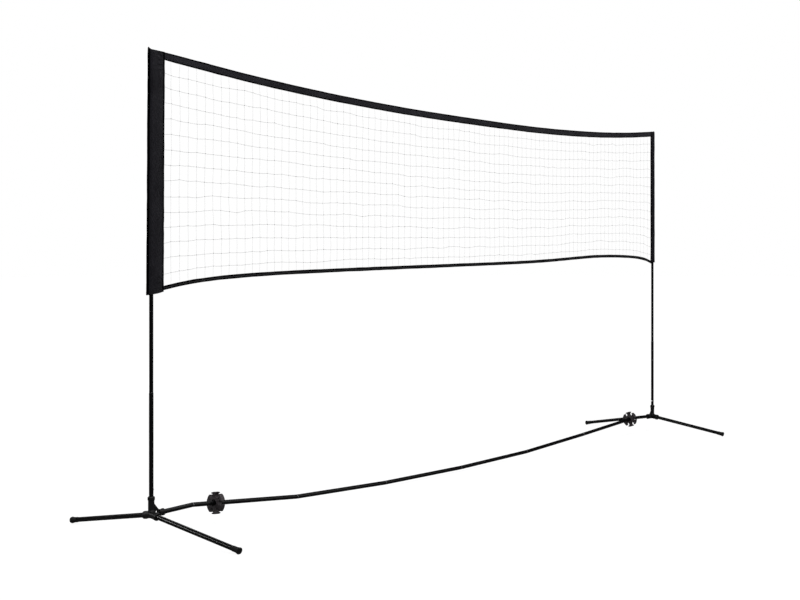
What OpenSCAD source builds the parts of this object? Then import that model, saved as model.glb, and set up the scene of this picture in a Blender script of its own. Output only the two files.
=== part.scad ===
// Portable badminton net on a free-standing tube frame.
// Frame: origin on the floor midway between the two posts, +X along the net from the
// left post to the right post, +Z up, the player stands on the -Y or the +Y side.

/* [Frame] */
// Distance between the two post axes
span = 3050; // [2900:10:3200]
// Height of the closed top of the net sleeves above the floor
net_top = 1551; // [1500:1:1600]
// Height of the foot sockets' crossing point above the floor
hub_z = 74; // [72:0.5:78]
// Horizontal reach of a foot from the post axis to the end of its rubber cap
foot_reach = 416; // [380:1:450]
// Height of a foot's axis at the end of its rubber cap
foot_tip_z = 10; // [9.8:0.1:11.2]
// Running clearance between a plug and its socket, on the radius
fit = 0.05; // [0.02:0.01:0.1]

/* [Posts] */
// Outside diameter of the lowest post tube
post_low_d = 13.8; // [13.4:0.1:14.6]
// Outside diameter of the upper post tubes
post_d = 12.6; // [12.2:0.1:13.2]
// Wall of the post tubes
post_wall = 1.0; // [0.8:0.1:1.2]
// Height of the joint between the first and second post tubes
post_joint_1 = 460; // [420:5:560]
// Height of the joint between the second and third post tubes
post_joint_2 = 852; // [800:5:900]
// Height of the joint between the third and fourth post tubes
post_joint_3 = 1228; // [1150:5:1300]
// Height of the top end of the fourth post tube
post_top = 1545; // [1500:1:1548]
// Length of a hidden joiner on each side of a joint
joiner_l = 38; // [25:1:60]

/* [Feet] */
// Outside diameter of a foot tube
foot_d = 16; // [15:0.1:17]
// Wall of a foot tube
foot_wall = 1.2; // [0.8:0.1:1.6]
// Largest diameter of the rubber cap
cap_d = 21.6; // [20.5:0.1:24.5]
// Length of the rubber cap
cap_l = 30; // [28:1:44]

/* [Hubs] */
// Outside diameter of the collar on the post socket
post_socket_d = 22.4; // [20:0.1:24]
// Outside diameter of the post socket below its collar
post_neck_d = 19.4; // [17:0.1:21]
// Height of the post socket above the foot sockets' crossing point
post_socket_h = 57; // [50:1:64]
// Outside diameter of the collar on a foot socket
foot_socket_d = 25.6; // [24:0.1:28]
// Outside diameter of a foot socket behind its collar
foot_neck_d = 23.6; // [20:0.1:24.4]
// Length of a foot socket from the post axis
foot_socket_l = 34; // [30:1:42]
// Outside diameter of the rod socket
rod_socket_d = 20.6; // [19:0.1:23]
// Distance from the post axis to the mouth of the rod socket
rod_socket_l = 45.5; // [44:0.5:80]
// Thickness of the web between the post socket and the rod socket
web_t = 4; // [3:0.5:10]

/* [Base rod] */
// Outside diameter of the base rod
rod_d = 15.4; // [14:0.1:16]
// Wall of the base rod
rod_wall = 1.3; // [1:0.1:1.6]
// Distance from the left post to the first rod joint
rod_stub_left = 159; // [130:1:190]
// Distance from the right post to the last rod joint
rod_stub_right = 180; // [130:1:190]
// Height of the rod's axis at each of its joints, left to right
rod_joint_z = [79.5, 35.5, 19, 16, 25, 51.5, 83]; // [12:0.5:120]
// Half of the open gap that a joint shows between two tubes
rod_gap = 1; // [0.8:0.1:1.5]

/* [Star clips] */
// Diameter across the arms
star_d = 74; // [70:1:84]
// Thickness of the arms
star_t = 14; // [8:0.5:16]
// Radius of the circle that the tube notches stand on
notch_pitch_r = 28; // [27:0.5:30]
// Radius of a tube notch
notch_r = 8.2; // [7:0.1:9]
// Width of a notch's mouth between two arm heads
notch_mouth = 11; // [8:0.5:14]
// Distance of the left star clip from the left post
star_left_s = 253; // [180:1:400]
// Distance of the right star clip from the right post
star_right_s = 218; // [205:1:400]
// Turn of the left star clip from an arm straight up
star_left_turn = -9; // [-30:1:30]
// Turn of the right star clip from an arm straight up
star_right_turn = -12; // [-30:1:30]

/* [Snap buttons] */
// Height of the snap button above the foot sockets' crossing point
button_h = 79; // [70:1:100]
// Diameter of the snap button
button_d = 6.6; // [5:0.1:7]
// How far the snap button stands out of the post tube
button_out = 2.6; // [2:0.1:3]

/* [Net] */
// Height of the top tape
tape_h = 27; // [20:1:40]
// Thickness of the top tape
tape_t = 3; // [2:0.5:5]
// Height of the top tape's upper edge at its lowest point
tape_low = 1482; // [1440:0.5:1540]
// Distance of the lowest point to the right of the middle
tape_low_x = 65; // [-200:5:200]
// Height of the bottom binding
binding_h = 12; // [8:1:20]
// Height of the bottom binding's centre line at mid span
binding_mid = 862; // [800:1:900]
// Rise of the bottom binding per metre towards the right
binding_rise = 24; // [0:1:50]
// Thickness of the string panel
mesh_t = 1.0; // [0.8:0.1:2]
// Height of the left sleeve's lower end
left_sleeve_z = 775; // [700:1:900]
// Height of the right sleeve's lower end
right_sleeve_z = 873; // [700:1:900]
// Width of the left sleeve from the post axis to its inner edge
left_flap = 51; // [30:1:70]
// Width of the right sleeve from the post axis to its inner edge
right_flap = 16; // [14:1:70]
// Radius of a sleeve around its post
sleeve_r = 11.5; // [10:0.5:14]
// Thickness of the sleeve fabric
sleeve_wall = 1.2; // [0.8:0.1:1.6]

/* [Hidden] */
$fn = 48;

black = [0.05, 0.05, 0.055];
plastic = [0.10, 0.10, 0.105];
clip_col = [0.17, 0.155, 0.16];
rubber = [0.06, 0.06, 0.06];
zinc = [0.72, 0.73, 0.75];
cloth = [0.14, 0.135, 0.15];
string_col = [0.35, 0.35, 0.37];

// foot geometry: slope of a foot and its length along its own axis
foot_a = atan2(hub_z - foot_tip_z, foot_reach);
foot_len = sqrt(pow(foot_reach, 2) + pow(hub_z - foot_tip_z, 2));
foot_in = 9.5;
// post geometry
insert_d = post_low_d - 2 * post_wall + 0.2 - 2 * fit;
insert_wall = 1.0;
insert_bottom = hub_z + 13;
insert_top = hub_z + post_socket_h + 62;
post_bore = post_d - 2 * post_wall;
joiner_d = post_bore - 2 * fit;
tube_1_bottom = hub_z + post_socket_h + 0.2;
// base rod joints
rod_x0 = -span / 2 + rod_stub_left;
rod_x6 = span / 2 - rod_stub_right;
rod_pitch = (rod_x6 - rod_x0) / 6;
rod_bore = rod_d - 2 * rod_wall;
function jx(k) = rod_x0 + k * rod_pitch;
function jz(k) = rod_joint_z[k];
function jlen(k) = sqrt(pow(jx(k + 1) - jx(k), 2) + pow(jz(k + 1) - jz(k), 2));
// tilt from vertical, about +Y, of the line from (x1, z1) to (x2, z2)
function tilt(x1, z1, x2, z2) = atan2(x2 - x1, z2 - z1);
left_stub_tilt = tilt(-span / 2, hub_z, jx(0), jz(0));
right_stub_tilt = tilt(-span / 2, hub_z, -span / 2 + rod_stub_right, jz(6));
// net edges
net_xl = -span / 2 + left_flap;
net_xr = span / 2 - right_flap;
tape_end = net_top - 1;
steps = 60;
function nx(i) = net_xl + (net_xr - net_xl) * i / steps;
// upper edge of the top tape: steep towards the posts, nearly flat in the middle
function tape_z(x) = x < tape_low_x
  ? tape_low + (tape_end - tape_low) * pow((tape_low_x - x) / (tape_low_x - net_xl), 2.35)
  : tape_low + (tape_end - tape_low) * pow((x - tape_low_x) / (net_xr - tape_low_x), 2.55);
// centre line of the bottom binding: a rising line, a soft hump, and a drop to each sleeve
function bind_z(x) = binding_mid + binding_rise * x / 1000
  + 15 * exp(-pow((x - 1045) / 380, 2))
  - 34 * exp(-(x - net_xl) / 178) - 28 * exp(-(net_xr - x) / 82);

module at_left() { translate([-span / 2, 0, 0]) children(); }
module at_right() { translate([span / 2, 0, 0]) mirror([1, 0, 0]) children(); }
// s = -1 for the foot on the -Y side, +1 for the foot on the +Y side
module foot_axis(s) { translate([0, 0, hub_z]) rotate([-s * (90 + foot_a), 0, 0]) children(); }
module along(x1, z1, x2, z2) { translate([x1, 0, z1]) rotate([0, tilt(x1, z1, x2, z2), 0]) children(); }
module tube(d, wall, z0, z1) {
  translate([0, 0, z0]) difference() {
    cylinder(d = d, h = z1 - z0);
    translate([0, 0, -1]) cylinder(d = d - 2 * wall, h = z1 - z0 + 2);
  }
}

// four-way moulded hub, rod socket towards +X
module hub_body(rod_tilt) {
  difference() {
    union() {
      // post socket with a collar at its mouth
      translate([0, 0, hub_z]) cylinder(d = post_neck_d, h = post_socket_h - 4);
      translate([0, 0, hub_z + post_socket_h - 13]) cylinder(d1 = post_neck_d, d2 = post_socket_d, h = 3);
      translate([0, 0, hub_z + post_socket_h - 10]) cylinder(d = post_socket_d, h = 7.5);
      translate([0, 0, hub_z + post_socket_h - 2.5]) cylinder(d1 = post_socket_d, d2 = post_socket_d - 4, h = 2.5);
      translate([0, 0, hub_z + foot_neck_d / 2 - 2]) cylinder(d1 = foot_neck_d + 1, d2 = post_neck_d, h = 4);
      // foot sockets with collars
      for (s = [-1, 1]) foot_axis(s) {
        cylinder(d = foot_neck_d, h = foot_socket_l - 9);
        translate([0, 0, foot_socket_l - 12]) cylinder(d1 = foot_neck_d, d2 = foot_socket_d, h = 2.5);
        translate([0, 0, foot_socket_l - 9.5]) cylinder(d = foot_socket_d, h = 7);
        translate([0, 0, foot_socket_l - 2.5]) cylinder(d1 = foot_socket_d, d2 = foot_socket_d - 4, h = 2.5);
      }
      translate([0, 0, hub_z]) sphere(d = foot_neck_d);
      // web with a window, from the core and the post socket to the rod socket
      translate([0, 0, hub_z]) rotate([90, 0, 0]) translate([0, 0, -web_t / 2]) linear_extrude(web_t) difference() {
        polygon([[0, -9], [rod_socket_l - 13, -8.5], [rod_socket_l - 13, 9], [rod_socket_l - 21, 15.5], [8, 37], [0, 37]]);
        for (x = [18.5, rod_socket_l - 20]) translate([x, 5.8]) circle(d = 5.6);
        translate([18.5, 3]) square([rod_socket_l - 38.5, 5.6]);
      }
      // rod socket with a rib at each end
      translate([0, 0, hub_z]) rotate([0, rod_tilt, 0]) {
        translate([0, 0, rod_socket_l - 17]) cylinder(d = rod_socket_d, h = 17);
        translate([0, 0, rod_socket_l - 17]) cylinder(d = rod_socket_d + 2.4, h = 3);
        translate([0, 0, rod_socket_l - 9.5]) cylinder(d = rod_socket_d + 1, h = 2);
        translate([0, 0, rod_socket_l - 3.5]) cylinder(d = rod_socket_d + 2.8, h = 3.5);
      }
    }
    // post bore, blind
    translate([0, 0, insert_bottom - 0.5]) cylinder(d = insert_d + 2 * fit, h = 200);
    // foot bores, blind
    for (s = [-1, 1]) foot_axis(s) translate([0, 0, foot_in - 0.5]) cylinder(d = foot_d + 2 * fit, h = 100);
    // rod bore, blind
    translate([0, 0, hub_z]) rotate([0, rod_tilt, 0]) translate([0, 0, rod_socket_l - 15.5]) cylinder(d = rod_d + 2 * fit, h = 60);
  }
}
module left_hub() { color(plastic) at_left() hub_body(left_stub_tilt); }
module right_hub() { color(plastic) at_right() hub_body(right_stub_tilt); }

// plug that stands in the hub and carries the lowest post tube, with a hole for the button
module post_insert() {
  difference() {
    tube(insert_d, insert_wall, insert_bottom, insert_top);
    translate([0, 0, hub_z + button_h]) rotate([0, 90, 0]) cylinder(d = button_d + 0.2, h = 30);
  }
}
module post_tube_1() {
  difference() {
    tube(post_low_d, (post_low_d - insert_d) / 2 - fit, tube_1_bottom, post_joint_1 - 0.2);
    translate([0, 0, hub_z + button_h]) rotate([0, 90, 0]) cylinder(d = button_d + 0.5, h = 30);
  }
}
module post_tube(z0, z1) { tube(post_d, post_wall, z0 + 0.2, z1 - 0.2); }
module post_joiners() {
  // stepped joiner from the wide lowest tube to the narrower ones
  translate([0, 0, post_joint_1 - joiner_l]) cylinder(d = insert_d, h = joiner_l - 0.2);
  translate([0, 0, post_joint_1 - 0.3]) cylinder(d = joiner_d, h = joiner_l + 0.3);
  for (z = [post_joint_2, post_joint_3])
    translate([0, 0, z - joiner_l]) cylinder(d = joiner_d, h = 2 * joiner_l);
}
module post_cap() {
  translate([0, 0, post_top + 0.1]) cylinder(d = post_d, h = 1.6);
  translate([0, 0, post_top + 1.7]) cylinder(d1 = post_d, d2 = post_d - 2, h = 0.8);
  translate([0, 0, post_top - 12]) cylinder(d = joiner_d, h = 12.2);
}
module left_post_insert() { color(zinc) at_left() post_insert(); }
module left_post_tube_1() { color(black) at_left() post_tube_1(); }
module left_post_tube_2() { color(black) at_left() post_tube(post_joint_1, post_joint_2); }
module left_post_tube_3() { color(black) at_left() post_tube(post_joint_2, post_joint_3); }
module left_post_tube_4() { color(black) at_left() post_tube(post_joint_3, post_top + 0.2); }
module left_post_joiners() { color(zinc) at_left() post_joiners(); }
module left_post_cap() { color(plastic) at_left() post_cap(); }
module right_post_insert() { color(zinc) at_right() post_insert(); }
module right_post_tube_1() { color(black) at_right() post_tube_1(); }
module right_post_tube_2() { color(black) at_right() post_tube(post_joint_1, post_joint_2); }
module right_post_tube_3() { color(black) at_right() post_tube(post_joint_2, post_joint_3); }
module right_post_tube_4() { color(black) at_right() post_tube(post_joint_3, post_top + 0.2); }
module right_post_joiners() { color(zinc) at_right() post_joiners(); }
module right_post_cap() { color(plastic) at_right() post_cap(); }

// domed snap button with an inner flange
module button_body() {
  tip = post_low_d / 2 + button_out;
  translate([0, 0, hub_z + button_h]) rotate([0, 90, 0]) rotate_extrude()
    polygon(concat([[0, 2], [3.6, 2], [3.6, 3], [button_d / 2, 3]],
      [for (i = [0:8]) let (a = i * 90 / 8) [button_d / 2 * cos(a), tip - 1.6 + 1.6 * sin(a)]]));
}
// bent leaf spring inside the insert, its free leg ends just above the button's flange
module button_spring_body() {
  r = 2.2;
  t = 0.6;
  z0 = hub_z + button_h;
  far = insert_d / 2 - insert_wall - 0.5;
  translate([0, 0, z0]) rotate([90, 0, 0]) translate([0, 0, -2]) linear_extrude(4) {
    translate([-far, -14]) square([t, 38]);
    translate([-far + r, 24]) intersection() {
      difference() { circle(r = r); circle(r = r - t); }
      translate([-r, 0]) square([2 * r, r]);
    }
    translate([-far + 2 * r - t, 4.4]) square([t, 19.6]);
  }
}
module left_button() { color(zinc) at_left() button_body(); }
module right_button() { color(zinc) at_right() button_body(); }
module left_button_spring() { color(zinc) at_left() button_spring_body(); }
module right_button_spring() { color(zinc) at_right() button_spring_body(); }

// sloping foot tube and its flared rubber cap, ground flat where it stands
module foot_tube(s) { foot_axis(s) tube(foot_d, foot_wall, foot_in, foot_len - 5); }
module foot_cap(s) {
  difference() {
    foot_axis(s) translate([0, 0, foot_len]) rotate_extrude() polygon([
      [0, -4.6], [foot_d / 2 + fit, -4.6], [foot_d / 2 + fit, -cap_l], [foot_d / 2 + 0.6, -cap_l],
      [foot_d / 2 + 0.9, -cap_l + 1], [foot_d / 2 + 0.9, -15], [foot_d / 2 + 1.2, -11],
      [cap_d / 2 - 0.3, -4], [cap_d / 2, -3], [cap_d / 2, -0.8], [cap_d / 2 - 0.8, 0], [0, 0]]);
    translate([-50, -foot_reach * 1.5, -60]) cube([100, foot_reach * 3, 60]);
  }
}
module left_front_foot() { color(black) at_left() foot_tube(-1); }
module left_back_foot() { color(black) at_left() foot_tube(1); }
module right_front_foot() { color(black) at_right() foot_tube(-1); }
module right_back_foot() { color(black) at_right() foot_tube(1); }
module left_front_cap() { color(rubber) at_left() foot_cap(-1); }
module left_back_cap() { color(rubber) at_left() foot_cap(1); }
module right_front_cap() { color(rubber) at_right() foot_cap(-1); }
module right_back_cap() { color(rubber) at_right() foot_cap(1); }

// base rod: a stub in each hub and six equal tubes between the joints
module rod_stub_body(stub, z) {
  l = sqrt(pow(stub, 2) + pow(z - hub_z, 2));
  along(0, hub_z, stub, z) tube(rod_d, rod_wall, rod_socket_l - 15, l - rod_gap);
}
module rod_section(k) { along(jx(k), jz(k), jx(k + 1), jz(k + 1)) tube(rod_d, rod_wall, rod_gap, jlen(k) - rod_gap); }
module rod_joiner(k) {
  px = k == 0 ? -span / 2 : jx(k - 1);
  pz = k == 0 ? hub_z : jz(k - 1);
  qx = k == 6 ? span / 2 : jx(k + 1);
  qz = k == 6 ? hub_z : jz(k + 1);
  t1 = tilt(px, pz, jx(k), jz(k));
  t2 = tilt(jx(k), jz(k), qx, qz);
  translate([jx(k), 0, jz(k)]) {
    rotate([0, t1, 0]) translate([0, 0, -joiner_l]) cylinder(d = rod_bore - 2 * fit, h = joiner_l);
    rotate([0, t2, 0]) cylinder(d = rod_bore - 2 * fit, h = joiner_l);
    rotate([0, (t1 + t2) / 2, 0]) translate([0, 0, -0.4]) cylinder(d = rod_d - 0.4, h = 0.8);
  }
}
module rod_stub_left() { color(black) at_left() rod_stub_body(rod_stub_left, jz(0)); }
module rod_stub_right() { color(black) at_right() rod_stub_body(rod_stub_right, jz(6)); }
module rod_section_1() { color(black) rod_section(0); }
module rod_section_2() { color(black) rod_section(1); }
module rod_section_3() { color(black) rod_section(2); }
module rod_section_4() { color(black) rod_section(3); }
module rod_section_5() { color(black) rod_section(4); }
module rod_section_6() { color(black) rod_section(5); }
module rod_joiners() { color(black) for (k = [0:6]) rod_joiner(k); }

// six-armed clip that turns on the base rod; each notch between two arms takes a tube
module star_profile() {
  difference() {
    circle(d = star_d, $fn = 96);
    for (k = [0:5]) rotate(60 * k + 30) {
      translate([notch_pitch_r, 0]) circle(r = notch_r);
      translate([notch_pitch_r, -notch_mouth / 2]) square([20, notch_mouth]);
    }
    for (k = [0:5]) rotate(60 * k) translate([25, 0]) circle(r = 2.4, $fn = 24);
  }
}
module star_body() {
  difference() {
    union() {
      translate([0, 0, -star_t / 2]) linear_extrude(star_t) star_profile();
      // thicker T-shaped rim on every arm
      translate([0, 0, -star_t / 2 - 1]) linear_extrude(star_t + 2) intersection() {
        star_profile();
        difference() { circle(d = star_d + 10, $fn = 96); circle(d = star_d - 8, $fn = 96); }
      }
      // raised ring around the bore
      translate([0, 0, -star_t / 2 - 2]) cylinder(r = 16, h = star_t + 4);
    }
    translate([0, 0, -40]) cylinder(d = rod_d + 2 * fit, h = 80);
    for (s = [-1, 1]) translate([0, 0, s * (star_t / 2 + 2)]) cylinder(r = 12.5, h = 8, center = true);
  }
}
module star_on(k, x, turn) {
  z = jz(k) + (x - jx(k)) / (jx(k + 1) - jx(k)) * (jz(k + 1) - jz(k));
  translate([x, 0, z]) rotate([0, tilt(jx(k), jz(k), jx(k + 1), jz(k + 1)), 0]) rotate([0, 0, 180 + turn]) star_body();
}
module left_star_clip() { color(clip_col) star_on(0, -span / 2 + star_left_s, star_left_turn); }
module right_star_clip() { color(clip_col) star_on(5, span / 2 - star_right_s, star_right_turn); }

// fabric sleeve: a pocket around the post and a flat doubled flap towards the net
module sleeve_body(flap, z0) {
  r = sleeve_r - sleeve_wall;
  h = net_top - z0;
  difference() {
    union() {
      translate([0, 0, z0]) cylinder(r = sleeve_r, h = h);
      translate([0, 0, z0]) linear_extrude(h)
        polygon([[1, sleeve_r - 0.3], [flap * 0.6, 2.2], [flap, 1.6], [flap, -1.6], [flap * 0.6, -2.2], [1, 0.3 - sleeve_r]]);
    }
    translate([0, 0, z0 - 1]) cylinder(r = r, h = h - 1.5);
    if (flap > 2 * sleeve_r) translate([0, 0, z0 - 1]) linear_extrude(h - 1.5)
      polygon([[1, r - 0.3], [flap * 0.45, 1.2], [flap * 0.45, -1.2], [1, 0.3 - r]]);
  }
}
module left_sleeve() { color(cloth) at_left() sleeve_body(left_flap - 0.1, left_sleeve_z); }
module right_sleeve() { color(cloth) at_right() sleeve_body(right_flap - 0.1, right_sleeve_z); }

// flat strip in the net plane between two edges given as point lists
module strip(upper, lower, t) {
  rotate([90, 0, 0]) translate([0, 0, -t / 2]) linear_extrude(t)
    polygon(concat(upper, [for (i = [len(lower) - 1:-1:0]) lower[i]]));
}
module top_tape() {
  color(cloth) strip([for (i = [0:steps]) [nx(i), tape_z(nx(i))]], [for (i = [0:steps]) [nx(i), tape_z(nx(i)) - tape_h]], tape_t);
}
module bottom_binding() {
  color(cloth) strip([for (i = [0:steps]) [nx(i), bind_z(nx(i)) + binding_h / 2]], [for (i = [0:steps]) [nx(i), bind_z(nx(i)) - binding_h / 2]], tape_t);
}
module string_panel() {
  color(string_col) strip([for (i = [0:steps]) [nx(i), tape_z(nx(i)) - tape_h - 0.1]], [for (i = [0:steps]) [nx(i), bind_z(nx(i)) + binding_h / 2 + 0.1]], mesh_t);
}

left_hub();
right_hub();
left_post_insert();
left_post_tube_1();
left_post_tube_2();
left_post_tube_3();
left_post_tube_4();
left_post_joiners();
left_post_cap();
right_post_insert();
right_post_tube_1();
right_post_tube_2();
right_post_tube_3();
right_post_tube_4();
right_post_joiners();
right_post_cap();
left_button();
left_button_spring();
right_button();
right_button_spring();
left_front_foot();
left_front_cap();
left_back_foot();
left_back_cap();
right_front_foot();
right_front_cap();
right_back_foot();
right_back_cap();
rod_stub_left();
rod_section_1();
rod_section_2();
rod_section_3();
rod_section_4();
rod_section_5();
rod_section_6();
rod_stub_right();
rod_joiners();
left_star_clip();
right_star_clip();
left_sleeve();
right_sleeve();
top_tape();
bottom_binding();
string_panel();
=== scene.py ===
import math

import bmesh
import bpy
import numpy as np
from mathutils import Matrix, Vector


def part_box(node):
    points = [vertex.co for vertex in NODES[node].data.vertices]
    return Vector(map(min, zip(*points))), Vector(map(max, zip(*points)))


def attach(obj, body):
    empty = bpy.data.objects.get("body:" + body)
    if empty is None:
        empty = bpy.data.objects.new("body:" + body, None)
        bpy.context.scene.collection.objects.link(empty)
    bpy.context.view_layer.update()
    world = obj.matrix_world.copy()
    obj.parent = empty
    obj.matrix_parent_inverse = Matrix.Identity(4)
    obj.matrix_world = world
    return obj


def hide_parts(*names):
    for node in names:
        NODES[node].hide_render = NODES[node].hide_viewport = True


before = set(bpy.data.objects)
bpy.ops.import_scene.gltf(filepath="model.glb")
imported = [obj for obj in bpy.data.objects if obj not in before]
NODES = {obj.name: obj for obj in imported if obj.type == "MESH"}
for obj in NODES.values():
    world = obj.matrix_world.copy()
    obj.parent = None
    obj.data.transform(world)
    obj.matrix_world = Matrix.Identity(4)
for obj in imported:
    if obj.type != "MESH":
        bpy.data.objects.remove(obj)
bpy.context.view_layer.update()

MM = 0.001


# ---------------------------------------------------------------- helpers

def value_noise(x, y, seed):
    """Smooth 2-D value noise in -1..1, the same on every run."""
    grid = np.random.RandomState(seed).uniform(-1, 1, (128, 128))
    x, y = np.broadcast_arrays(np.asarray(x, float) + 1000, np.asarray(y, float) + 1000)
    xi, yi = np.floor(x).astype(int), np.floor(y).astype(int)
    fx, fy = x - xi, y - yi
    fx, fy = fx * fx * (3 - 2 * fx), fy * fy * (3 - 2 * fy)
    g = lambda i, j: grid[i % 128, j % 128]
    low = g(xi, yi) * (1 - fx) + g(xi + 1, yi) * fx
    high = g(xi, yi + 1) * (1 - fx) + g(xi + 1, yi + 1) * fx
    return low * (1 - fy) + high * fy


def smoothstep(a, b, x):
    t = np.clip((np.asarray(x, float) - a) / (b - a), 0, 1)
    return t * t * (3 - 2 * t)


def curve_through(xs, ys):
    """A smooth function through samples, carried on straight past both ends."""
    m = np.gradient(ys, xs)

    def f(x):
        x = np.asarray(x, float)
        c = np.clip(x, xs[0], xs[-1])
        i = np.clip(np.searchsorted(xs, c, side="right") - 1, 0, len(xs) - 2)
        h = xs[i + 1] - xs[i]
        t = (c - xs[i]) / h
        y = ((2 * t**3 - 3 * t**2 + 1) * ys[i] + (t**3 - 2 * t**2 + t) * h * m[i]
             + (3 * t**2 - 2 * t**3) * ys[i + 1] + (t**3 - t**2) * h * m[i + 1])
        return y + np.where(x < xs[0], (x - xs[0]) * m[0], 0) + np.where(x > xs[-1], (x - xs[-1]) * m[-1], 0)

    return f


def edges_of(node):
    """Upper and lower edge of a CAD strip as smooth functions of x, and its two ends."""
    co = np.array([v.co for v in NODES[node].data.vertices], float)
    xs = np.unique(np.round(co[:, 0], 4))
    up = np.array([co[np.abs(co[:, 0] - x) < 2e-4, 2].max() for x in xs])
    lo = np.array([co[np.abs(co[:, 0] - x) < 2e-4, 2].min() for x in xs])
    return curve_through(xs, up), curve_through(xs, lo), xs[0], xs[-1]


def make_object(name, verts, faces, smooth=True, tone_and_painted_shade=None, recalc=False):
    mesh = bpy.data.meshes.new(name)
    mesh.from_pydata([tuple(v) for v in verts], [], [tuple(int(i) for i in f) for f in faces])
    mesh.validate()
    if recalc:
        bm = bmesh.new()
        bm.from_mesh(mesh)
        bmesh.ops.recalc_face_normals(bm, faces=bm.faces)
        bm.to_mesh(mesh)
        bm.free()
    if tone_and_painted_shade is not None:
        layer = mesh.attributes.new("tone_and_painted_shade", "FLOAT", "POINT")
        layer.data.foreach_set("value", np.asarray(tone_and_painted_shade, np.float32))
    if smooth:
        mesh.polygons.foreach_set("use_smooth", [True] * len(mesh.polygons))
    mesh.update()
    o = bpy.data.objects.new(name, mesh)
    bpy.context.scene.collection.objects.link(o)
    return o


class Bag:
    """Collects many small closed parts into one mesh."""

    def __init__(self):
        self.verts, self.faces, self.count = [], [], 0

    def add(self, verts, faces):
        self.verts.append(np.asarray(verts, float))
        self.faces.extend([[i + self.count for i in f] for f in faces])
        self.count += len(verts)

    def sweep(self, points, radius, sides, plane=(0, 1, 0)):
        """A closed tube along points. plane is a direction roughly square to the path all along."""
        p = np.asarray(points, float)
        t = np.gradient(p, axis=0)
        t /= np.linalg.norm(t, axis=1)[:, None]
        b = np.cross(t, np.asarray(plane, float))
        b /= np.linalg.norm(b, axis=1)[:, None]
        n = np.cross(b, t)
        r = np.broadcast_to(np.asarray(radius, float), (len(p),))
        ang = np.arange(sides) * 2 * math.pi / sides
        ring = p[:, None, :] + r[:, None, None] * (np.cos(ang)[None, :, None] * b[:, None, :] + np.sin(ang)[None, :, None] * n[:, None, :])
        faces = []
        for i in range(len(p) - 1):
            for k in range(sides):
                a, c = i * sides + k, i * sides + (k + 1) % sides
                faces.append([a, c, c + sides, a + sides])
        faces.append(list(range(sides))[::-1])
        faces.append([(len(p) - 1) * sides + k for k in range(sides)])
        self.add(ring.reshape(-1, 3), faces)

    def build(self, name, smooth=True):
        return make_object(name, np.concatenate(self.verts), self.faces, smooth)


# ---------------------------------------------------------------- materials

def new_material(name):
    m = bpy.data.materials.new(name)
    m.use_nodes = True
    tree = m.node_tree
    tree.nodes.clear()
    out = tree.nodes.new("ShaderNodeOutputMaterial")
    bsdf = tree.nodes.new("ShaderNodeBsdfPrincipled")
    tree.links.new(bsdf.outputs[0], out.inputs[0])
    return m, tree, bsdf


class Net:
    """Short helper for building node trees."""

    def __init__(self, tree):
        self.tree = tree

    def node(self, kind, inputs=None, **props):
        n = self.tree.nodes.new(kind)
        for k, v in props.items():
            setattr(n, k, v)
        for k, v in (inputs or {}).items():
            self.feed(n.inputs[k], v)
        return n

    def feed(self, socket, v):
        if isinstance(v, bpy.types.NodeSocket):
            self.tree.links.new(v, socket)
        elif isinstance(v, bpy.types.Node):
            self.tree.links.new(v.outputs[0], socket)
        else:
            socket.default_value = v

    def math(self, op, a, b=None, c=None, clamp=False):
        n = self.tree.nodes.new("ShaderNodeMath")
        n.operation = op
        n.use_clamp = clamp
        self.feed(n.inputs[0], a)
        if b is not None:
            self.feed(n.inputs[1], b)
        if c is not None:
            self.feed(n.inputs[2], c)
        return n.outputs[0]

    def ramp(self, fac, stops):
        n = self.tree.nodes.new("ShaderNodeValToRGB")
        while len(n.color_ramp.elements) < len(stops):
            n.color_ramp.elements.new(0.5)
        for e, (pos, col) in zip(n.color_ramp.elements, stops):
            e.position = pos
            e.color = (*col, 1) if len(col) == 3 else col
        self.feed(n.inputs[0], fac)
        return n.outputs[0]

    def mix(self, fac, a, b):
        n = self.tree.nodes.new("ShaderNodeMix")
        n.data_type = "RGBA"
        self.feed(n.inputs[0], fac)
        self.feed(n.inputs[6], a)
        self.feed(n.inputs[7], b)
        return n.outputs[2]

    def noise(self, vec, scale, detail=3.0, rough=0.5):
        n = self.node("ShaderNodeTexNoise", {"Scale": scale, "Detail": detail, "Roughness": rough})
        self.feed(n.inputs["Vector"], vec)
        return n.outputs[0]

    def position(self):
        return self.tree.nodes.new("ShaderNodeTexCoord").outputs["Object"]

    def separate(self, vec):
        n = self.node("ShaderNodeSeparateXYZ", {0: vec})
        return n.outputs

    def stretched(self, vec, scale):
        n = self.node("ShaderNodeVectorMath", operation="MULTIPLY")
        self.feed(n.inputs[0], vec)
        n.inputs[1].default_value = scale
        return n.outputs[0]

    def bump(self, height, strength, distance, normal=None):
        n = self.node("ShaderNodeBump", {"Strength": strength, "Distance": distance, "Height": height})
        if normal is not None:
            self.feed(n.inputs["Normal"], normal)
        return n.outputs[0]


def edge_mask(net, radius):
    """0 on flat surface, towards 1 at sharp edges, and the softened normal."""
    bevel = net.node("ShaderNodeBevel", {"Radius": radius}, samples=6)
    geo = net.node("ShaderNodeNewGeometry")
    dot = net.node("ShaderNodeVectorMath", operation="DOT_PRODUCT")
    net.feed(dot.inputs[0], bevel.outputs[0])
    net.feed(dot.inputs[1], geo.outputs["Normal"])
    return net.math("MULTIPLY", net.math("SUBTRACT", 1.0, dot.outputs["Value"]), 5.0, clamp=True), bevel.outputs[0]


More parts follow.
